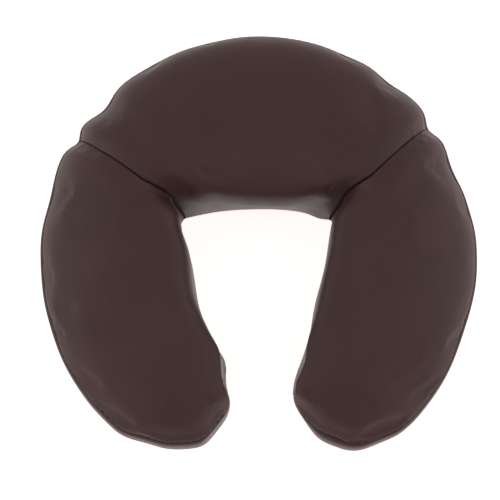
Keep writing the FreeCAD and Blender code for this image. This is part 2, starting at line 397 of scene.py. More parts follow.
class Grid:
    """Where every column of the cover starts, which spine point it ends at, and which panel it belongs to."""

    def __init__(self):
        self.loop, self.turn = pad_loop()
        self.length = arc_lengths(self.loop)[-1]
        outer, inner = self.edge_places()
        self.lay_columns(outer, inner)
        self.lay_spine(outer, inner)
        self.edge += self.out * (EDGE_FULLNESS * (self.at < self.turn))[:, None]
        across = self.spine[self.spine_of] - self.edge
        self.inward = across / lengths(across)[:, None]
        self.set_profile()

    def edge_places(self):
        """How far along the outer and the inner edge each station lies, with the seams among the stations."""
        outer_ends, inner_ends = zip(SEAM_ENDS["left"], SEAM_ENDS["right"])
        flank = [place_on(self.loop, (side * HALF_WIDTH, TIP_Y)) for side in (-1, 1)]
        outer_knots = [flank[0], *(place_on(self.loop, end) for end in outer_ends), flank[1]]
        inner_knots = [self.length - place_on(self.loop, end) for end in inner_ends]
        inner_knots = [0.0, *inner_knots, self.length - self.turn]
        outer, inner, self.seam_stations = [], [], []
        for i in range(3):
            run = outer_knots[i + 1] - outer_knots[i]
            share = stations(run, i > 0, i < 2)
            if i > 0:
                self.seam_stations.append(sum(len(o) for o in outer) - 1)
                share = share[1:]
            outer.append(outer_knots[i] + share * run)
            inner.append(inner_knots[i] + share * (inner_knots[i + 1] - inner_knots[i]))
        return np.concatenate(outer), np.concatenate(inner)

    def lay_columns(self, outer, inner):
        """The columns' places on the edge, the spine point and panel of each, and the way out of the pad."""
        count = len(outer)
        left_cap = np.linspace(0, outer[0], int(outer[0] / COLUMN_STEP) + 1)[:-1]
        right_cap = np.linspace(outer[-1], self.turn, int((self.turn - outer[-1]) / COLUMN_STEP) + 1)[1:]
        self.at = np.concatenate([left_cap, outer, right_cap, self.length - inner[-2:0:-1]])
        self.spine_of = np.concatenate([
            np.zeros(len(left_cap), int),
            np.arange(count),
            np.full(len(right_cap), count - 1),
            np.arange(count - 2, 0, -1),
        ])
        self.edge = on_path(self.loop, self.at)
        out = side_of(np.concatenate([self.loop[-3:-1], self.loop, self.loop[1:3]]))[2:-2]
        self.out = interpolated(self.at, arc_lengths(self.loop), out)
        self.seam_columns = [
            (len(left_cap) + i, len(left_cap) + count + len(right_cap) + (count - 2 - i))
            for i in self.seam_stations
        ]
        first, second = self.seam_stations
        self.panel_of_strip = np.array([
            0 if max(a, b) <= first else 2 if min(a, b) >= second else 1
            for a, b in zip(self.spine_of, np.roll(self.spine_of, -1))
        ])

    def lay_spine(self, outer, inner):
        """The points along the pad's middle, moved towards the arms where a panel seam crosses them."""
        across = on_path(self.loop, self.length - inner) - on_path(self.loop, outer)
        spine = on_path(self.loop, outer) + SPINE_SHARE * across
        along = arc_lengths(spine)
        bend = np.zeros_like(spine)
        for side, station in zip(("left", "right"), self.seam_stations):
            reach = bell(along - along[station], SEAM_BEND_REACH)
            bend -= SEAM_BEND[side] * reach[:, None] * crownward(across[station])
        self.spine = spine + bend

    def set_profile(self):
        """What the cross-section needs at each column: heights, leans, folds and fullness."""
        x, y = self.edge.T
        opening = (np.abs(x) < TIP_X) & (y < CREST_Y + CORNER_RADIUS)
        self.wall = opening * smooth(y, *WALL_BLEND_Y)
        self.foot = SEAM_HEIGHT + (BASE_TOP - SEAM_HEIGHT) * opening * smooth(y, RAMP_TOP_Y, RAMP_BASE_Y)
        at_tip = smooth(-self.out[:, 1], *EDGE_ROLL_FADE_OUT) * smooth(y, *EDGE_ROLL_FADE_Y)
        self.edge_roll = EDGE_ROLL_SHARE * (1 - at_tip)
        self.full = np.minimum(1, (self.foot - BASE_TOP) / FULL_BAND_HEIGHT)
        self.tuck = TUCK * (1 - WALL_TUCK_LOSS * self.wall)
        self.shoulder = WALL_SHOULDER + (CREST_SHOULDER - WALL_SHOULDER) * smooth(y, *CREST_SHOULDER_Y)
        self.peak = TOP_HEIGHT - ARM_DROP * smooth(self.spine[:, 1], *ARM_DROP_Y)
        self.band_bulge = spread(self.edge, BAND_BULGES)
        self.base_inset = self.full * (BASE_INSET + spread(self.edge, FOOT_TUCKS))
        self.lean = self.wall * spread(self.edge, LEANING_WALL)
        self.low_bulge = self.wall * spread(self.edge, LOW_BULGES)
        ends = [self.at[column] for pair in self.seam_columns for column in pair]
        self.by_seam = sum(bell(self.at - end, SEAM_RELIEF_HALF_WIDTH) for end in ends)


def wall_lean(lean, low_bulge, wall, height):
    """How far inside the foot of the cover its side lies at some heights."""
    up = np.clip((height - BASE_TOP) / (SEAM_HEIGHT - BASE_TOP), 0, 1)
    return lean * up + low_bulge * smooth(up, *LOW_BULGE_TOP) - WALL_BULGE * wall * np.sin(up * math.pi)


def cross_sections(grid, inset, foot, knee, peak, wall, rows):
    """For each column, rows + 1 points: up from the foot to the knee, over the shoulder, and to the spine.

    The second result is each point's distance from the foot, along the surface.
    """
    edge = grid.edge - grid.out * np.broadcast_to(inset, len(grid.edge))[:, None]
    across = grid.spine[grid.spine_of] - edge
    width = lengths(across)
    across /= width[:, None]

    turn = np.linspace(0, math.pi / 2, SHOULDER_STEPS)
    away = 1 - np.cos(turn)
    climb = np.linspace(0, 1, WALL_STEPS)[:-1]
    share = (np.arange(rows + 1) / rows) ** ROW_CROWDING
    points = np.zeros((len(edge), rows + 1, 3))
    distance = np.zeros((len(edge), rows + 1))
    for i in range(len(edge)):
        roll = 1 - np.exp(-away * width[i] / EDGE_ROLL_REACH)
        share_of_roll = grid.edge_roll[i]
        rise = (1 - share_of_roll) * (1 - (1 - away) ** 2) + share_of_roll * roll / roll[-1]
        hard = (1 - np.cos(turn) ** grid.shoulder[i], np.sin(turn) ** grid.shoulder[i])
        shoulder = [(1 - wall[i]) * s + wall[i] * h for s, h in zip((away, rise), hard)]
        wall_height = foot[i] + climb * (knee - foot[i])
        lean = wall_lean(grid.lean[i], grid.low_bulge[i], wall[i], wall_height)
        top_lean = grid.lean[i] + grid.low_bulge[i]
        inward = np.concatenate([lean, top_lean + (width[i] - top_lean) * shoulder[0]])
        height = np.concatenate([wall_height, knee + (peak[i] - knee) * shoulder[1]])
        along = np.concatenate([[0], np.cumsum(np.hypot(np.diff(inward), np.diff(height)) + 1e-9)])
        distance[i] = share * along[-1]
        points[i, :, :2] = edge[i] + across[i] * np.interp(distance[i], along, inward)[:, None]
        points[i, :, 2] = np.interp(distance[i], along, height)
    return points, distance


def grid_faces(grid, rows):
    """The faces between the columns, and each one's panel: 0 left cheek, 1 crown, 2 right cheek."""
    columns = len(grid.at)
    faces, panels = [], []
    for c in range(columns):
        after = (c + 1) % columns
        ends = (columns * rows + grid.spine_of[c], columns * rows + grid.spine_of[after])
        for k in range(rows):
            here, there = c * rows + k, after * rows + k
            if k < rows - 1:
                faces.append((here, here + 1, there + 1, there))
            elif ends[0] == ends[1]:
                faces.append((here, ends[0], there))
            else:
                faces.append((here, ends[0], ends[1], there))
            panels.append(grid.panel_of_strip[c])
    return faces, np.array(panels)


def vertex_list(grid, values):
    """Values at the columns' points as one list: every column's rows but the last, and then the spine."""
    spine = np.zeros((len(grid.spine), values.shape[2]))
    spine[grid.spine_of] = values[:, -1]
    return np.concatenate([values[:, :-1].reshape(-1, values.shape[2]), spine])


def on_cover(grid, values):
    """A value for each column as one for each point of the cover. It is 0 along the spine."""
    return np.concatenate([np.repeat(values, ROWS, axis=0), np.zeros((len(grid.spine), *values.shape[1:]))])


def vertex_normals(points, faces):
    """Area-weighted unit normals."""
    normals = np.zeros_like(points)
    for size in (3, 4):
        some = np.array([f for f in faces if len(f) == size])
        if not len(some):
            continue
        a, b, c, d = (points[some[:, i]] for i in (0, 1, 2, size - 1))
        area = np.cross(c - a, d - b) if size == 4 else np.cross(b - a, c - a)
        for i in range(size):
            np.add.at(normals, some[:, i], area)
    return normals / np.maximum(lengths(normals), 1e-12)[:, None]


# ---- Meshes ----

def make_object(name, points, faces, material=None):
    """A smooth-shaded mesh object from points in millimetres."""
    mesh = bpy.data.meshes.new(name)
    mesh.from_pydata((np.asarray(points) * MM).tolist(), [], [tuple(int(i) for i in f) for f in faces])
    mesh.validate()
    mesh.update()
    mesh.polygons.foreach_set("use_smooth", [True] * len(mesh.polygons))
    made = bpy.data.objects.new(name, mesh)
    bpy.context.scene.collection.objects.link(made)
    if material:
        mesh.materials.append(material)
    return made


def finish_piece(piece, node):
    """The piece rides on the one body and stands for a CAD node, which is hidden."""
    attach(piece, "root")
    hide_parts(node)


def without_unused(faces):
    """The faces with their corners renumbered from 0, and the old numbers."""
    used = sorted({i for f in faces for i in f})
    new = {old: i for i, old in enumerate(used)}
    return [tuple(new[i] for i in f) for f in faces], used


def rim_edges(faces):
    """The directed edges that only one face has."""
    edges = {(a, b) for f in faces for a, b in zip(f, f[1:] + f[:1])}
    return [(a, b) for a, b in edges if (b, a) not in edges]


def closed_shell(outside, inside, faces):
    """A closed skin between two surfaces with the same faces."""
    count = len(outside)
    back = [tuple(i + count for i in reversed(f)) for f in faces]
    rim = [(b, a, a + count, b + count) for a, b in sorted(rim_edges(faces))]
    return np.concatenate([outside, inside]), list(faces) + back + rim


def tube_faces(rings, around):
    """The faces between rings of points that lie one after another."""
    return [
        (a, b, b + around, a + around)
        for start in range(0, (rings - 1) * around, around)
        for a, b in ((start + i, start + (i + 1) % around) for i in range(around))
    ]


# ---- The leather cover ----
FAR_AWAY = 999.0


def seam_corners(grid, number):
    """The outer end of a panel seam, its bend at the spine, and its inner end, in plan."""
    outer_column, inner_column = grid.seam_columns[number]
    return grid.edge[outer_column], grid.spine[grid.seam_stations[number]], grid.edge[inner_column]


def seam_place(grid, number, plan):
    """How far points in plan lie from a panel seam's inner end along it, and how far on its crown's side.

    Points on the other half of the pad count as very far away.
    """
    outer_end, bend, inner_end = seam_corners(grid, number)
    to_corner, aside = np.zeros(len(plan)), np.full(len(plan), FAR_AWAY)
    for near, far, before in ((inner_end, bend, 0.0), (bend, outer_end, np.linalg.norm(bend - inner_end))):
        length = np.linalg.norm(far - near)
        along = np.clip((plan - near) @ (far - near) / length, 0, length)
        away = plan - near - along[:, None] * (far - near) / length
        distance = lengths(away)
        closer = (distance < np.abs(aside)) & (plan[:, 0] * outer_end[0] > 0)
        to_corner[closer] = (before + along)[closer]
        aside[closer] = (np.sign(away @ crownward(far - near)) * distance)[closer]
    return to_corner, aside


def above_seam(heights, rise):
    """0 at the outer seam and 1 on top of the cover, over a range of heights above the seam."""
    return smooth(heights, SEAM_HEIGHT + rise[0], SEAM_HEIGHT + rise[1])


def dented(grid, points):
    """The smooth surface with the dips and dents of a real stuffed cover, moved straight down."""
    points = points.copy()
    plan = points[:, :2]
    drop = np.zeros(len(points))
    for number, side in enumerate(("left", "right")):
        to_corner, aside = seam_place(grid, number, plan)
        drop += SEAM_DIP * bell(aside, SEAM_DIP_HALF_WIDTH)
        reach = np.where(aside > 0, HOLLOW_HALF_WIDTH["crown"], HOLLOW_HALF_WIDTH["cheek"])
        drop += HOLLOW_DEPTH[side] * (1 - smooth(to_corner, *HOLLOW_FADE)) * bell(aside, reach)
    for start, end, depth, half_width in DENTS:
        start, step = np.array(start), np.array(end) - np.array(start)
        share = np.clip((plan - start) @ step / (step @ step), 0, 1)
        drop += depth * bell(lengths(plan - start - share[:, None] * step), half_width)
    points[:, 2] -= drop * above_seam(points[:, 2], DENT_RISE)
    return pressed(grid, points)


def corner_draw(grid, plan):
    """The share of its height above the base that the cover loses at points in plan."""
    lost = np.zeros(len(plan))
    for number, side in enumerate(("left", "right")):
        _, bend, end = seam_corners(grid, number)
        along = unit(end - bend)
        lost += (
            CORNER_DRAW[side]
            * bell((plan - end) @ along, CORNER_DRAW_LENGTH)
            * bell((plan - end) @ crownward(along), CORNER_DRAW_HALF_WIDTH)
        )
    return lost


def pressed(grid, points):
    """Heights above the base, pressed down in the opening's corners."""
    points = points.copy()
    points[:, 2] = BASE_TOP + (points[:, 2] - BASE_TOP) * (1 - corner_draw(grid, points[:, :2]))
    return points


def averaged(plan, heights, chosen):
    """Heights evened out over a few millimetres in plan, however closely the points are spaced."""
    low = plan.min(axis=0)
    size = tuple(np.ceil((plan.max(axis=0) - low) / AVERAGE_CELL).astype(int) + 2)
    at = (plan - low) / AVERAGE_CELL
    cell = np.floor(at + 0.5).astype(int)
    total, count = np.zeros(size), np.zeros(size)
    np.add.at(total, tuple(cell[chosen].T), heights[chosen])
    np.add.at(count, tuple(cell[chosen].T), 1)
    mean, filled = total / np.maximum(count, 1), (count > 0).astype(float)
    steps = np.arange(-3 * AVERAGE_REACH, 3 * AVERAGE_REACH + 1, AVERAGE_CELL)
    kernel = bell(steps, AVERAGE_REACH)
    for axis in (0, 1):
        mean = np.apply_along_axis(np.convolve, axis, mean, kernel, "same")
        filled = np.apply_along_axis(np.convolve, axis, filled, kernel, "same")
    mean /= np.maximum(filled, 1e-9)
    corner = np.floor(at).astype(int)
    x, y = (at - corner).T
    i, j = corner.T
    near = mean[i, j] * (1 - y) + mean[i, j + 1] * y
    far = mean[i + 1, j] * (1 - y) + mean[i + 1, j + 1] * y
    return near * (1 - x) + far * x


def smoothed_tips(grid, points):
    """The surface with its heights evened out round the end of the spine at each tip."""
    points = points.copy()
    for end in grid.spine[[0, -1]]:
        away = lengths(points[:, :2] - end)
        near = np.flatnonzero(away < TIP_SMOOTHING[1])
        height = points[near, 2]
        on_top = above_seam(height, TIP_RISE)
        mean = averaged(points[near, :2], height, on_top > 0.5)
        weight = (1 - smooth(away[near], *TIP_SMOOTHING)) * on_top
        points[near, 2] += weight * (mean - height)
    return points


def cover_surface(grid):
    """The top cover's smooth outer surface, before its seams are drawn in."""
    points, distance = cross_sections(
        grid, 0.0, grid.foot, SEAM_HEIGHT, grid.peak[grid.spine_of], grid.wall, ROWS
    )
    points = smoothed_tips(grid, vertex_list(grid, points))
    return dented(grid, points), vertex_list(grid, distance[:, :, None])[:, 0]


def row_points(grid, columns, rows):
    """The numbers of the surface's points at those columns and rows. The last row is the spine."""
    spine_start = len(grid.at) * ROWS
    return np.array([
        [c * ROWS + r if r < ROWS else spine_start + grid.spine_of[c] for r in rows] for c in columns
    ])


def coarse_columns(grid):
    """Every few columns, with both ends of a station, the seams and the ends of the spine among them."""
    count = len(grid.spine)
    stations_kept = set(range(0, count, CLOTH_STRIDE)) | set(grid.seam_stations) | {count - 1}
    on_tips = (grid.spine_of == 0) | (grid.spine_of == count - 1)
    return [
        c for c in range(len(grid.at))
        if (on_tips[c] and c % CLOTH_STRIDE == 0) or (not on_tips[c] and grid.spine_of[c] in stations_kept)
    ]


def simulated(points, faces, held):
    """Where the points of a pressed-out cloth come to rest when some of them are held, in millimetres."""
    cloth = make_object("cloth_trial", points, faces)
    group = cloth.vertex_groups.new(name="held")
    group.add([int(i) for i in held], 1.0, "REPLACE")
    physics = cloth.modifiers.new("cloth", "CLOTH")
    settings = physics.settings
    settings.quality = 8
    settings.mass = 0.25
    settings.tension_stiffness = settings.compression_stiffness = 30
    settings.shear_stiffness = 12
    settings.bending_stiffness = 5.0
    settings.air_damping = 3
    settings.use_pressure = True
    settings.uniform_pressure_force = CLOTH_PRESSURE
    settings.vertex_group_mass = "held"
    settings.shrink_min = CLOTH_SHRINK
    settings.effector_weights.gravity = 0
    physics.collision_settings.use_collision = False
    physics.point_cache.frame_start, physics.point_cache.frame_end = 1, CLOTH_FRAMES
    scene = bpy.context.scene
    for number in range(1, CLOTH_FRAMES + 1):
        scene.frame_set(number)
    rested = cloth.evaluated_get(bpy.context.evaluated_depsgraph_get()).data
    places = np.array([tuple(v.co) for v in rested.vertices]) / MM
    scene.frame_set(1)
    bpy.data.objects.remove(cloth)
    return places


def filled_out(grid, surface):
    """The cover as cloth over its filling, held at its seams and pressed out between them.

    A coarser copy is simulated, and its capped movement is spread over the fine surface.
    """
    columns = coarse_columns(grid)
    rows = list(range(0, ROWS + 1, CLOTH_ROW_STRIDE))
    numbers = row_points(grid, columns, rows)
    used, compact = np.unique(numbers, return_inverse=True)
    compact = compact.reshape(numbers.shape)
    faces = []
    for c in range(len(columns)):
        here, there = compact[c], compact[(c + 1) % len(columns)]
        for k in range(len(rows) - 1):
            corners = (here[k], here[k + 1], there[k + 1], there[k])
            faces.append(corners if here[k + 1] != there[k + 1] else (here[k], here[k + 1], there[k]))
    on_seam = {c for pair in grid.seam_columns for c in pair}
    held = set(compact[:, 0])
    for c, column in enumerate(columns):
        if column in on_seam:
            held |= set(compact[c])
    start = surface[used]
    moved = simulated(start, faces, held) - start
    ways = vertex_normals(start, faces)
    outward = (moved * ways).sum(axis=1)
    moved += ways * (np.clip(outward, -CLOTH_MOST_IN, CLOTH_MOST_OUT) - outward)[:, None]
    moved *= np.minimum(1, CLOTH_MOST_OUT / np.maximum(lengths(moved), 1e-9))[:, None]

    every_row = np.arange(ROWS + 1)
    by_row = np.stack([interpolated(every_row, rows, column) for column in moved[compact]])
    by_row = np.concatenate([by_row, by_row[:1]])
    around = np.array(columns + [columns[0] + len(grid.at)])
    at = (np.arange(len(grid.at)) - columns[0]) % len(grid.at) + columns[0]
    fine = np.stack([interpolated(at, around, by_row[:, row]) for row in every_row], axis=1)
    kept = 1 - CLOTH_WALL_HOLD * on_cover(grid, grid.wall) * (1 - above_seam(surface[:, 2], CLOTH_RISE))
    return surface + vertex_list(grid, fine) * kept[:, None]


def seam_scallop(grid):
    """For each column, 1 beside a stitch of the outer seam and -1 between two stitches."""
    columns = band_columns(grid)
    along = arc_lengths(outer_seam_line(grid, columns))
    _, pitch = stitch_count(along[-1])
    scallop = np.zeros(len(grid.at))
    scallop[columns] = -np.cos(2 * math.pi * (along - STITCH_MARGIN) / pitch)
    return scallop


def leather_panels(grid, surface, travelled, leather):
    """Three closed skins, drawn in along the outer edge and along the seams between them."""
    faces, panels = grid_faces(grid, ROWS)
    normals = vertex_normals(surface, faces)
    inward = on_cover(grid, grid.inward)

    outside = surface.copy()
    inside = surface - normals * LEATHER
    tuck = on_cover(grid, grid.tuck * (1 + SCALLOP * seam_scallop(grid)))
    outside[:, :2] += inward * (tuck * bell(travelled, TUCK_REACH, TUCK_SHARPNESS))[:, None]
    inside[:, :2] += inward * (BACK_TUCK_SHARE * TUCK * bell(travelled, BACK_REACH))[:, None]
    for number in range(2):
        to_corner, aside = seam_place(grid, number, surface[:, :2])
        share = GROOVE_SHARE_AT_CORNER - GROOVE_LOSS * smooth(to_corner, *GROOVE_LOSS_LENGTH)
        away, depth = np.abs(aside), GROOVE_DEPTH * share
        outside -= normals * (depth * bell(away, GROOVE_REACH, GROOVE_SHARPNESS))[:, None]
        inside -= normals * (BACK_GROOVE_SHARE * depth * bell(away, BACK_REACH))[:, None]

    for number, name in enumerate(("left_cheek_panel", "crown_panel", "right_cheek_panel")):
        own, used = without_unused([f for f, p in zip(faces, panels) if p == number])
        shell, shell_faces = closed_shell(outside[used], inside[used], own)
        panel = make_object("leather_" + name, shell, shell_faces, leather)
        finish_piece(panel, name)


def band_columns(grid):
    """The columns below which there is side band, in order from one end of the band to the other."""
    columns = np.flatnonzero(grid.foot > BASE_TOP + BAND_LEAST_HEIGHT)
    gap = np.flatnonzero(np.diff(columns) > 1)
    return np.roll(columns, -(gap[0] + 1)) if len(gap) else columns


def outer_seam_line(grid, columns):
    """Where the thread of the outer seam lies, in the fold between the top panels and the side band."""
    lean = wall_lean(grid.lean, grid.low_bulge, grid.wall, grid.foot)
    plan = grid.edge - grid.out * THREAD_INSET + grid.inward * lean[:, None]
    return np.column_stack([plan, grid.foot])[columns]


def stitch_count(length):
    """How many stitches a seam of that length takes, and their even pitch."""
    count = int(round((length - 2 * STITCH_MARGIN) / STITCH_PITCH))
    return count, (length - 2 * STITCH_MARGIN) / count


def outer_band(grid, leather):
    """The side band: a strip from the outer seam down to the base, a little full at the tips."""
    share = np.linspace(0, 1, BAND_ROWS + 1)
    to_foot = share**1.5
    columns = band_columns(grid)
    scallop = seam_scallop(grid)
    points = []
    for c in columns:
        height = grid.foot[c] - BASE_TOP
        at_tip = smooth(grid.edge[c, 1], *BAND_TIP_Y)
        facing_in = smooth(-grid.out[c, 0] * np.sign(grid.edge[c, 0]), *BAND_FACING_IN) * at_tip
        below, above = height * share, height * (1 - share)
        tuck = grid.tuck[c] * bell(below, TUCK_REACH, TUCK_SHARPNESS) * (1 + SCALLOP * scallop[c])
        tuck += TUCK * bell(above, TUCK_REACH, TUCK_SHARPNESS)
        lip = (BAND_LIP + (TIP_LIP - BAND_LIP) * at_tip) * (1 - grid.wall[c]) * (1 - facing_in)
        turn = LIP_TURN + (TIP_LIP_TURN - LIP_TURN) * at_tip
        bulge = grid.full[c] * lip * (1 - np.exp(-below / turn) - to_foot) - grid.base_inset[c] * to_foot
        bulge += grid.band_bulge[c] * np.sin(math.pi * np.sqrt(share))
        lean = wall_lean(grid.lean[c], grid.low_bulge[c], grid.wall[c], grid.foot[c] - below)
        plan = grid.edge[c] + grid.out[c] * (bulge - tuck)[:, None] + grid.inward[c] * lean[:, None]
        points.append(np.column_stack([plan, grid.foot[c] - below]))
    surface = np.concatenate(points)
    step = BAND_ROWS + 1
    faces = [
        (a, a + step, a + step + 1, a + 1)
        for start in range(0, (len(columns) - 1) * step, step)
        for a in range(start, start + BAND_ROWS)
    ]
    skin = closed_shell(surface, surface - vertex_normals(surface, faces) * LEATHER, faces)
    band = make_object("leather_outer_band", *skin, leather)
    finish_piece(band, "outer_band")


# ---- The filling and the base ----

def flat_layer(grid, inset, height, rows):
    """Points of a flat layer: from its edge straight to the spine, and how far each lies from the edge."""
    share = (np.arange(rows + 1) / rows) ** ROW_CROWDING
    start = grid.edge - grid.out * np.broadcast_to(inset, len(grid.edge))[:, None]
    end = grid.spine[grid.spine_of]
    points = np.full((len(grid.at), rows + 1, 3), float(height))
    points[:, :, :2] = start[:, None] + share[None, :, None] * (end - start)[:, None]
    travelled = share[None, :] * lengths(end - start)[:, None]
    return vertex_list(grid, points), vertex_list(grid, travelled[:, :, None])[:, 0]


def foam_layers(grid, firm, soft):
    """The soft foam under the cover and the firm slab below it, drawn back where the panel seams press in."""
    every = np.ones(len(grid.at))
    inset = np.maximum(BASE_INSET, grid.base_inset) + FOAM_GAP + SEAM_RELIEF * grid.by_seam
    faces, _ = grid_faces(grid, FOAM_ROWS)
    top_height = (grid.peak - LEATHER - FOAM_GAP)[grid.spine_of]
    top, _ = cross_sections(grid, inset, FOAM_JOINT * every, SEAM_HEIGHT, top_height, grid.wall, FOAM_ROWS)
    top = smoothed_tips(grid, vertex_list(grid, top))
    flat = top.copy()
    flat[:, 2] = FOAM_JOINT
    top, flat = dented(grid, top), pressed(grid, flat)
    top[:, 2] -= SEAM_RELIEF * corner_draw(grid, top[:, :2])
    for number in range(2):
        _, aside = seam_place(grid, number, top[:, :2])
        top[:, 2] -= SEAM_RELIEF * bell(aside, SEAM_RELIEF_HALF_WIDTH)
    top[:, 2] = np.maximum(top[:, 2], flat[:, 2] + FOAM_THINNEST)
    comfort = make_object("foam_comfort_layer", *closed_shell(top, flat, faces), soft)
    finish_piece(comfort, "comfort_foam")

    knee, slab_top = FOAM_JOINT - FOAM_EDGE_ROUND, (FOAM_JOINT - FOAM_LAYER_GAP) * every
    slab, _ = cross_sections(grid, inset, BASE_TOP * every, knee, slab_top, every, FOAM_ROWS)
    slab = pressed(grid, vertex_list(grid, slab))
    under, _ = flat_layer(grid, inset, BASE_TOP + FOAM_LAYER_GAP, FOAM_ROWS)
    support = make_object("foam_support_slab", *closed_shell(slab, under, faces), firm)
    finish_piece(support, "support_foam")


def base_panel(grid, fabric):
    """The flat panel underneath, turned up a little where it is sewn to the rest of the cover."""
    underside, travelled = flat_layer(grid, BASE_RIM_INSET + grid.base_inset, BASE_UNDERSIDE, BASE_ROWS)
    underside[:, 2] += BASE_RIM_LIFT * bell(travelled, BASE_RIM_REACH, 1.5)
    topside = underside.copy()
    topside[:, 2] = np.maximum(underside[:, 2] + BASE_CLOTH, BASE_TOP - BASE_EDGE_GAP)
    faces, _ = grid_faces(grid, BASE_ROWS)
    base = make_object("fabric_base_panel", *closed_shell(topside, underside, faces), fabric)
    finish_piece(base, "base_panel")


# ---- Thread ----
THREAD_RADIUS = 0.4
STITCH_SHARE = 0.7
THREAD_SIDES = 10
THREAD_STEPS = 9
PLY_DEPTH = 0.16
PLY_TURNS = 1.6
STITCH_ARCH = 0.3
STITCH_DIVE = 0.72
STITCH_THIN_END = 0.12
PANEL_THREAD_DEPTH = 1.35
OUTER_THREAD_UP = (0, 0, 0.35)
BASE_THREAD_INSET = 1.9
BASE_THREAD_DROP = 0.7
BASE_THREAD_DOWN = (0, 0, -0.7)


def stitch(start, end, out):
    """One stitch of two-ply thread: it comes up at start, lies along the seam, and goes down at end."""
    length = np.linalg.norm(end - start)
    along = (end - start) / length
    out = unit(out - along * (out @ along))
    square = np.cross(along, out)
    share = np.linspace(0, 1, THREAD_STEPS + 1)
    to_end = np.abs(2 * share - 1)
    rise = STITCH_ARCH * np.sin(math.pi * share) - STITCH_DIVE * to_end**4
    taper = np.sqrt(np.clip(1 - to_end**6, STITCH_THIN_END, 1))
    around = np.linspace(0, 2 * math.pi, THREAD_SIDES, endpoint=False)
    rings = []
    for s, up, thick in zip(share, rise, taper):
        lobe = THREAD_RADIUS * thick * (1 + PLY_DEPTH * np.cos(2 * (around - PLY_TURNS * 2 * math.pi * s)))
        outward, sideways = (lobe * np.cos(around))[:, None], (lobe * np.sin(around))[:, None]
        rings.append(start + along * length * s + out * up + out * outward + square * sideways)
    first = tuple(range(THREAD_SIDES))[::-1]
    last = tuple(THREAD_STEPS * THREAD_SIDES + j for j in range(THREAD_SIDES))
    return np.concatenate(rings), [*tube_faces(THREAD_STEPS + 1, THREAD_SIDES), first, last]


def stitched(name, node, line, out, thread):
    """A run of stitches along a line of points, with the way out of the cover at each point."""
    along = arc_lengths(line)
    count, pitch = stitch_count(along[-1])
    points, faces, total = [], [], 0
    for i in range(count):
        middle = STITCH_MARGIN + (i + 0.5) * pitch
        start, end = on_path(line, [middle - STITCH_SHARE * pitch / 2, middle + STITCH_SHARE * pitch / 2])
        some, some_faces = stitch(start, end, interpolated(middle, along, out))
        points.append(some)
        faces.extend(tuple(j + total for j in f) for f in some_faces)
        total += len(some)
    finish_piece(make_object(name, np.concatenate(points), faces, thread), node)


def cover_stitches(grid, surface, thread):
    """The thread of the two panel seams, the outer seam and the seam round the foot."""
    faces, _ = grid_faces(grid, ROWS)
    normals = vertex_normals(surface, faces)
    for number, side in enumerate(("left", "right")):
        outer_column, inner_column = grid.seam_columns[number]
        rows = list(row_points(grid, [outer_column], range(1, ROWS + 1))[0])
        rows.extend(row_points(grid, [inner_column], range(ROWS - 1, 1, -1))[0])
        line = surface[rows] - normals[rows] * PANEL_THREAD_DEPTH
        stitched(f"thread_{side}_panel_seam", f"{side}_panel_seam_stitches", line, normals[rows], thread)

    columns = band_columns(grid)
    flat_out = np.column_stack([grid.out, np.zeros(len(grid.out))])
    line = outer_seam_line(grid, columns)
    stitched("thread_outer_seam", "outer_seam_stitches", line, flat_out[columns] + OUTER_THREAD_UP, thread)

    foot_line = grid.edge - grid.out * (BASE_THREAD_INSET + grid.base_inset)[:, None]
    line = np.column_stack([foot_line, np.full(len(grid.edge), BASE_TOP - BASE_THREAD_DROP)])
    line = np.concatenate([line, line[:1]])
    out = np.concatenate([flat_out, flat_out[:1]]) + BASE_THREAD_DOWN
    stitched("thread_base_seam", "base_seam_stitches", line, out, thread)


# ---- The strips of loop tape ----
TAPE_WIDTH = 25.0
TAPE_CORNER = 3.0
TAPE_TOP = 1.6
TAPE_UNDERSIDE = 0.6
TAPE_STITCH_INSET = 2.5
TAPE_THREAD_HEIGHT = 0.1
TAPE_RINGS = (0.0, 0.25, 0.7, 1.4, 2.1, 2.5, 2.9, 3.6, 5.0, 7.5, 10.0)
TAPES = [
    ("crown_loop_strip", "crown_strip_stitches", 110.0, 0.0),
    ("left_arm_loop_strip", "left_arm_strip_stitches", 90.0, -82.0),
    ("right_arm_loop_strip", "right_arm_strip_stitches", 90.0, 82.0),
]
TAPE_EDGE_LIFT = 0.45
TAPE_STITCH_LIFT = 0.3
LOOP_SPACING = 1.35
LOOP_RADIUS = 0.5
LOOP_HEIGHT = (0.38, 0.5)
LOOP_TILT = 0.5
LOOP_WANDER = 0.4
LOOP_RINGS = 8
LOOP_ROOT = 0.02
LOOP_END_TURN = 0.15
LOOP_THREAD = 0.09
LOOP_THREAD_SIDES = 4
LOOP_EDGE = 3.4


def strip_outline(length, inset, count):
    """Points round a strip with rounded corners, evenly spaced, that much inside its edge."""
    round_off = max(TAPE_CORNER - inset, 0.4)
    x, y = length / 2 - inset - round_off, TAPE_WIDTH / 2 - inset - round_off
    corners = [((x, y), 90), ((x, -y), 0), ((-x, -y), -90), ((-x, y), -180)]
    rounds = [arc(centre, round_off, start, start - 90) for centre, start in corners]
    path = joined([*rounds, [(-x, y + round_off)]])
    path = np.concatenate([path, path[:1]])
    return on_path(path, np.linspace(0, arc_lengths(path)[-1], count + 1)[:-1])


def placed(points, centre, turn):
    """Points of a strip turned by an angle in degrees and moved to its centre."""
    c, s = math.cos(math.radians(turn)), math.sin(math.radians(turn))
    points = np.asarray(points, float).copy()
    points[:, :2] = points[:, :2] @ np.array([[c, s], [-s, c]]) + centre
    return points


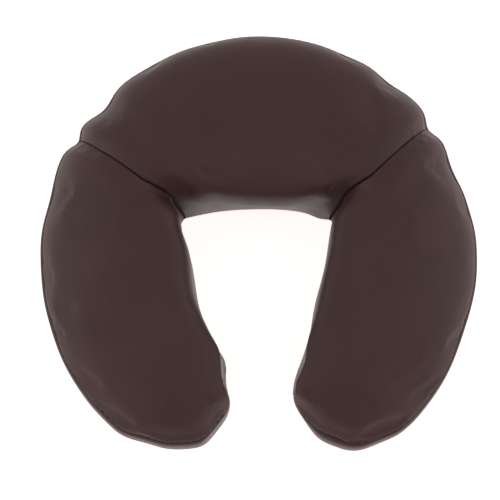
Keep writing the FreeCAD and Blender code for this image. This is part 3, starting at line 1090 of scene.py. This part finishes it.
def tape_shell(length):
    """The woven ground of a strip: turned up a little at its edge and drawn in along its stitches."""
    count = int(2 * (length + TAPE_WIDTH) / COLUMN_STEP)
    rings = []
    for inset in TAPE_RINGS:
        lift = TAPE_EDGE_LIFT * bell(inset, 0.5) + TAPE_STITCH_LIFT * bell(inset - TAPE_STITCH_INSET, 0.6)
        ring = strip_outline(length, inset, count)
        rings.append(np.column_stack([ring, np.full(count, TAPE_UNDERSIDE + lift)]))
    under = np.concatenate(rings)
    upper = under.copy()
    upper[:, 2] = TAPE_TOP
    middle = tuple(range(len(under) - count, len(under)))
    return closed_shell(under, upper, tube_faces(len(rings), count) + [middle])


def pile_loops(length, seed):
    """The small loops that stand out of a strip, each a bent thread that leans its own way."""
    draw = np.random.default_rng(seed)
    x = np.arange(-length / 2 + LOOP_EDGE, length / 2 - LOOP_EDGE, LOOP_SPACING)
    y = np.arange(-TAPE_WIDTH / 2 + LOOP_EDGE, TAPE_WIDTH / 2 - LOOP_EDGE, LOOP_SPACING)
    centre = np.stack(np.meshgrid(x, y), axis=-1).reshape(-1, 2)
    centre += draw.uniform(-LOOP_WANDER, LOOP_WANDER, centre.shape)
    heading = draw.uniform(0, math.pi, len(centre))
    tilt = draw.uniform(-LOOP_TILT, LOOP_TILT, len(centre))
    height = draw.uniform(*LOOP_HEIGHT, len(centre))
    level = np.zeros(len(centre))
    ahead = np.stack([np.cos(heading), np.sin(heading), level], axis=1)
    aside = np.stack([-np.sin(heading), np.cos(heading), level], axis=1)
    down = np.sin(tilt)[:, None] * aside - np.cos(tilt)[:, None] * np.array([0.0, 0.0, 1.0])
    square = np.cross(ahead, down)

    root = np.column_stack([centre, level + TAPE_UNDERSIDE - LOOP_ROOT])
    rings = []
    for turn in np.linspace(-LOOP_END_TURN, math.pi + LOOP_END_TURN, LOOP_RINGS):
        middle = root + ahead * (LOOP_RADIUS * math.cos(turn)) + down * (height * math.sin(turn))[:, None]
        outward = ahead * math.cos(turn) + down * math.sin(turn)
        for around in np.arange(LOOP_THREAD_SIDES) * 2 * math.pi / LOOP_THREAD_SIDES:
            rings.append(middle + LOOP_THREAD * (outward * math.cos(around) + square * math.sin(around)))
    points = np.stack(rings, axis=1).reshape(-1, 3)
    first = tuple(range(LOOP_THREAD_SIDES))
    last = tuple(range(len(rings) - LOOP_THREAD_SIDES, len(rings)))[::-1]
    one = [(a, d, c, b) for a, b, c, d in tube_faces(LOOP_RINGS, LOOP_THREAD_SIDES)] + [first, last]
    return points, [tuple(len(rings) * n + i for i in f) for n in range(len(centre)) for f in one]


def loop_strips(ground, pile, thread):
    """Each strip of loop tape: its ground, its pile, and the stitches that hold it to the base."""
    for seed, (node, stitch_node, length, turn) in enumerate(TAPES):
        low, high = node_box(node)
        centre = (low[:2] + high[:2]) / 2
        points, faces = tape_shell(length)
        strip = make_object("tape_" + node, placed(points, centre, turn), faces, ground)
        finish_piece(strip, node)
        points, faces = pile_loops(length, seed)
        loops = make_object("pile_" + node, placed(points, centre, turn), faces, pile)
        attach(loops, "root")

        line = strip_outline(length, TAPE_STITCH_INSET, int(length * 4))
        line = np.column_stack([line, np.full(len(line), TAPE_UNDERSIDE + TAPE_THREAD_HEIGHT)])
        line = placed(np.concatenate([line, line[:1]]), centre, turn)
        down = np.tile([0.0, 0.0, -1.0], (len(line), 1))
        stitched("thread_" + node, stitch_node, line, down, thread)


# ---- Materials ----

def feed(tree, node, inputs):
    """Gives a node's inputs plain values or other nodes' outputs."""
    for socket, value in inputs.items():
        if isinstance(value, bpy.types.NodeSocket):
            tree.links.new(value, node.inputs[socket])
        else:
            node.inputs[socket].default_value = value


def add_node(tree, kind, inputs, **settings):
    """One more shader node, with its settings and its inputs."""
    made = tree.nodes.new("ShaderNode" + kind)
    for name, value in settings.items():
        setattr(made, name, value)
    feed(tree, made, inputs)
    return made


def new_material(name):
    """A new material with its node tree, its shader, and the object's own coordinates in metres."""
    made = bpy.data.materials.new(name)
    made.use_nodes = True
    tree = made.node_tree
    tree.nodes.clear()
    shader = add_node(tree, "BsdfPrincipled", {})
    add_node(tree, "OutputMaterial", {"Surface": shader.outputs["BSDF"]})
    return made, tree, shader, add_node(tree, "TexCoord", {}).outputs["Object"]


def combined(tree, first, second=0.0, operation="ADD"):
    """The result of a Math node, a sum unless told otherwise."""
    return add_node(tree, "Math", {0: first, 1: second}, operation=operation).outputs[0]


def stepped(tree, value, low, high, start, end):
    """A value eased from start to end while another goes from low to high."""
    inputs = {"Value": value, "From Min": low, "From Max": high, "To Min": start, "To Max": end}
    return add_node(tree, "MapRange", inputs, interpolation_type="SMOOTHSTEP").outputs["Result"]


def blended(tree, share, first, second, kind="MIX"):
    """A colour between two others, or the one times the other."""
    first, second = ((*colour, 1) if isinstance(colour, tuple) else colour for colour in (first, second))
    mix = add_node(tree, "Mix", {0: share, 6: first, 7: second}, data_type="RGBA", blend_type=kind)
    return mix.outputs[2]


def noise(tree, where, scale, detail=2.0, output="Fac"):
    return add_node(tree, "TexNoise", {"Vector": where, "Scale": scale, "Detail": detail}).outputs[output]


def cell_edges(tree, where, scale):
    """How far a point is from the edge of its cell in an uneven pattern of cells."""
    cells = add_node(tree, "TexVoronoi", {"Vector": where, "Scale": scale}, feature="DISTANCE_TO_EDGE")
    return cells.outputs["Distance"]


def bumped(tree, height, distance, strength):
    """A normal with the small relief of a height, which is that many metres high at 1."""
    inputs = {"Height": height, "Distance": distance, "Strength": strength}
    return add_node(tree, "Bump", inputs).outputs["Normal"]


LEATHER_DARK = (0.0740, 0.0300, 0.0292)
LEATHER_LIGHT = (0.0840, 0.0342, 0.0333)
# Painted shade in the grain's creases: the base colour is multiplied by this between the pebbles.
LEATHER_CREASE_SHADE = (0.86, 0.84, 0.84)
GRAIN_SCALE = 1150.0
GRAIN_RELIEF = 0.00009


def leather_material():
    """Dark brown upholstery leather: a fine pebble grain, slow changes of tone, and rougher creases with
    painted shade in them.
    """
    made, tree, shader, where = new_material("brown_leather")
    wander = noise(tree, where, 500.0, 1.0, "Color")
    moved = add_node(tree, "VectorMath", {0: wander, 1: (0.0006, 0.0006, 0.0006)}, operation="MULTIPLY")
    warped = add_node(tree, "VectorMath", {0: where, 1: moved.outputs[0]}, operation="ADD").outputs[0]
    pebble = stepped(tree, cell_edges(tree, warped, GRAIN_SCALE), 0.0, 0.3, 0.0, 1.0)
    pores = noise(tree, where, 4200.0)
    height = combined(tree, pebble, combined(tree, pores, 0.35, "MULTIPLY"))

    tone = noise(tree, where, 26.0, 4.0)
    broad = blended(tree, stepped(tree, tone, 0.32, 0.68, 0.0, 1.0), LEATHER_DARK, LEATHER_LIGHT)
    # Painted shade: the colour is darkened in the creases between the pebbles, on top of their bump.
    crease_shade = blended(tree, stepped(tree, pebble, 0.0, 0.6, 0.0, 1.0), LEATHER_CREASE_SHADE, (1.0, 1.0, 1.0))
    dull = stepped(tree, pebble, 0.0, 0.5, 0.07, 0.0)
    patchy = stepped(tree, noise(tree, where, 60.0, 3.0), 0.3, 0.7, 0.42, 0.48)
    feed(tree, shader, {
        "Base Color": blended(tree, 1.0, broad, crease_shade, "MULTIPLY"),
        "Roughness": combined(tree, dull, patchy),
        "Specular IOR Level": 0.42,
        "Normal": bumped(tree, height, GRAIN_RELIEF, 0.35),
    })
    return made


def thread_material():
    """Dark bonded polyester thread with fibres along its plies."""
    made, tree, shader, where = new_material("dark_thread")
    fibres = noise(tree, where, 7000.0, 3.0)
    feed(tree, shader, {
        "Base Color": blended(tree, fibres, (0.007, 0.005, 0.0045), (0.020, 0.014, 0.012)),
        "Roughness": 0.62,
        "Normal": bumped(tree, fibres, 0.00004, 0.5),
    })
    return made


def woven_height(tree, where, pitch):
    """A plain weave across X and Y, as a height from 0 to 1: each thread goes over one and under the next."""
    split = add_node(tree, "SeparateXYZ", {0: where})
    turns = [combined(tree, split.outputs[axis], math.pi / pitch, "MULTIPLY") for axis in ("X", "Y")]
    waves = [combined(tree, turn, operation="SINE") for turn in turns]
    ridges = [combined(tree, wave, operation="ABSOLUTE") for wave in waves]
    side = stepped(tree, combined(tree, *waves, "MULTIPLY"), -0.15, 0.15, 0.0, 1.0)
    rest = combined(tree, 1.0, side, "SUBTRACT")
    over = combined(tree, ridges[0], side, "MULTIPLY")
    return combined(tree, over, combined(tree, ridges[1], rest, "MULTIPLY"))


def woven_material(name, pitch, dark, light, roughness, sheen):
    """A woven cloth with that pitch between its threads, in metres, with painted shade darkening the hollows
    between them.
    """
    made, tree, shader, where = new_material(name)
    weave = woven_height(tree, where, pitch)
    fibres = noise(tree, where, 5200.0, 3.0)
    height = combined(tree, weave, combined(tree, fibres, 0.3, "MULTIPLY"))
    # Painted shade: the colour runs from dark in the hollows between the threads to light on their tops, with
    # a slow random change of tone.
    share = combined(tree, weave, combined(tree, noise(tree, where, 40.0, 3.0), 0.6, "MULTIPLY"), "MULTIPLY")
    feed(tree, shader, {
        "Base Color": blended(tree, share, dark, light),
        "Roughness": roughness,
        "Sheen Weight": sheen,
        "Normal": bumped(tree, height, 0.3 * pitch, 0.6),
    })
    return made


def pile_material():
    """The brushed nylon loops of hook-and-loop tape."""
    made, tree, shader, where = new_material("loop_pile")
    feed(tree, shader, {
        "Base Color": blended(tree, noise(tree, where, 900.0), (0.010, 0.010, 0.011), (0.032, 0.031, 0.032)),
        "Roughness": 0.6,
        "Sheen Weight": 0.4,
        "Normal": bumped(tree, noise(tree, where, 9000.0), 0.00003, 0.4),
    })
    return made


def foam_material(name, dark, light, cell):
    """Open-cell foam with cells of that size, in metres, with painted shade darkening the inside of each
    cell.
    """
    made, tree, shader, where = new_material(name)
    # Painted shade: light on the cell walls and dark inside the cells.
    walls = stepped(tree, cell_edges(tree, where, 1 / cell), 0.02, 0.2, 0.0, 1.0)
    feed(tree, shader, {
        "Base Color": blended(tree, walls, light, dark),
        "Roughness": 0.9,
        "Normal": bumped(tree, walls, 0.4 * cell, 0.7),
    })
    return made


# ---- Camera, floor and light ----

CAMERA_TILT = math.radians(14.0)
CAMERA_DISTANCE = 1.1655
CAMERA_TARGET = Vector((-0.0057, -0.0081, 0.0355))
CAMERA_LENS = 120.9


def add_camera():
    """A long lens, a little in front of straight above the pad."""
    data = bpy.data.cameras.new("camera")
    data.lens = CAMERA_LENS
    data.sensor_width = 36
    data.clip_start, data.clip_end = 0.05, 20
    camera = bpy.data.objects.new("camera", data)
    bpy.context.scene.collection.objects.link(camera)
    back = Vector((0, -math.sin(CAMERA_TILT), math.cos(CAMERA_TILT)))
    camera.location = CAMERA_TARGET + back * CAMERA_DISTANCE
    camera.rotation_euler = (CAMERA_TILT, 0, 0)
    bpy.context.scene.camera = camera


FLOOR_SIZE = 12000.0
FLOOR_WHITE = (0.7, 0.7, 0.7)
# The floor's glow is painted light: the floor gives off light of this colour, which lights the pad from below
# and washes out its shadow.
FLOOR_GLOW_TINT = (1.0, 0.93, 0.91)
FLOOR_GLOW = 0.92
FAR_FLOOR_GLOW = 0.45
FLOOR_FADE = (0.3, 1.1)


def add_floor():
    """A wide white floor with a glow of its own, which gets weaker in front of and behind the pad."""
    made, tree, shader, where = new_material("floor_white")
    away = combined(tree, add_node(tree, "SeparateXYZ", {0: where}).outputs["Y"], operation="ABSOLUTE")
    feed(tree, shader, {
        "Base Color": (*FLOOR_WHITE, 1),
        "Roughness": 0.9,
        "Specular IOR Level": 0.0,
        "Emission Color": (*FLOOR_GLOW_TINT, 1),
        "Emission Strength": stepped(tree, away, *FLOOR_FADE, FLOOR_GLOW, FAR_FLOOR_GLOW),
    })
    s = FLOOR_SIZE
    floor = make_object("floor", [(-s, -s, 0), (s, -s, 0), (s, s, 0), (-s, s, 0)], [(0, 1, 2, 3)], made)


# The studio's light by direction: how bright it is overhead, at the sides, behind the crown, and in front.
SKY_TOP = 0.46
SKY_SIDE = 1.2
SKY_BACK = 0.3
SKY_FRONT = 0.16
# The powers of the direction that spread the light widely or narrowly.
SKY_WIDE = 2.0
SKY_NARROW = 4.0


def add_light():
    """A soft tent of light: dim overhead and in front, and bright at the sides and behind the crown."""
    world = bpy.data.worlds.new("world")
    bpy.context.scene.world = world
    world.use_nodes = True
    tree = world.node_tree
    where = add_node(tree, "TexCoord", {}).outputs["Generated"]
    x, y, z = add_node(tree, "SeparateXYZ", {0: where}).outputs
    behind = combined(tree, y, 0.0, "MAXIMUM")
    in_front = combined(tree, combined(tree, y, -1.0, "MULTIPLY"), 0.0, "MAXIMUM")
    parts = (
        (x, SKY_WIDE, SKY_SIDE),
        (behind, SKY_NARROW, SKY_BACK),
        (in_front, SKY_NARROW, SKY_FRONT),
        (z, SKY_WIDE, SKY_TOP),
    )
    total = 0.0
    for share, power, strength in parts:
        share = combined(tree, combined(tree, share, operation="ABSOLUTE"), power, "POWER")
        total = combined(tree, total, combined(tree, share, strength, "MULTIPLY"))
    feed(tree, tree.nodes["Background"], {"Strength": total, "Color": (1, 1, 1, 1)})
    bpy.context.scene.view_settings.view_transform = "Standard"


# ---- Making it all ----
add_camera()
add_floor()
add_light()
leather = leather_material()
thread = thread_material()
# The darker colour of each cloth is painted shade in the hollows between its threads.
fabric = woven_material("base_cloth", 0.0007, (0.006, 0.006, 0.0065), (0.030, 0.028, 0.028), 0.8, 0.15)
tape_ground = woven_material("tape_ground", 0.0005, (0.006, 0.006, 0.006), (0.022, 0.022, 0.023), 0.7, 0.1)
pile = pile_material()
# The darker colour of each foam is painted shade inside its cells.
firm_foam = foam_material("firm_foam", (0.42, 0.41, 0.38), (0.62, 0.61, 0.56), 0.0011)
soft_foam = foam_material("soft_foam", (0.55, 0.48, 0.30), (0.78, 0.72, 0.52), 0.0014)
grid = Grid()
surface, travelled = cover_surface(grid)
surface = filled_out(grid, surface)
leather_panels(grid, surface, travelled, leather)
outer_band(grid, leather)
foam_layers(grid, firm_foam, soft_foam)
base_panel(grid, fabric)
cover_stitches(grid, surface, thread)
loop_strips(tape_ground, pile, thread)
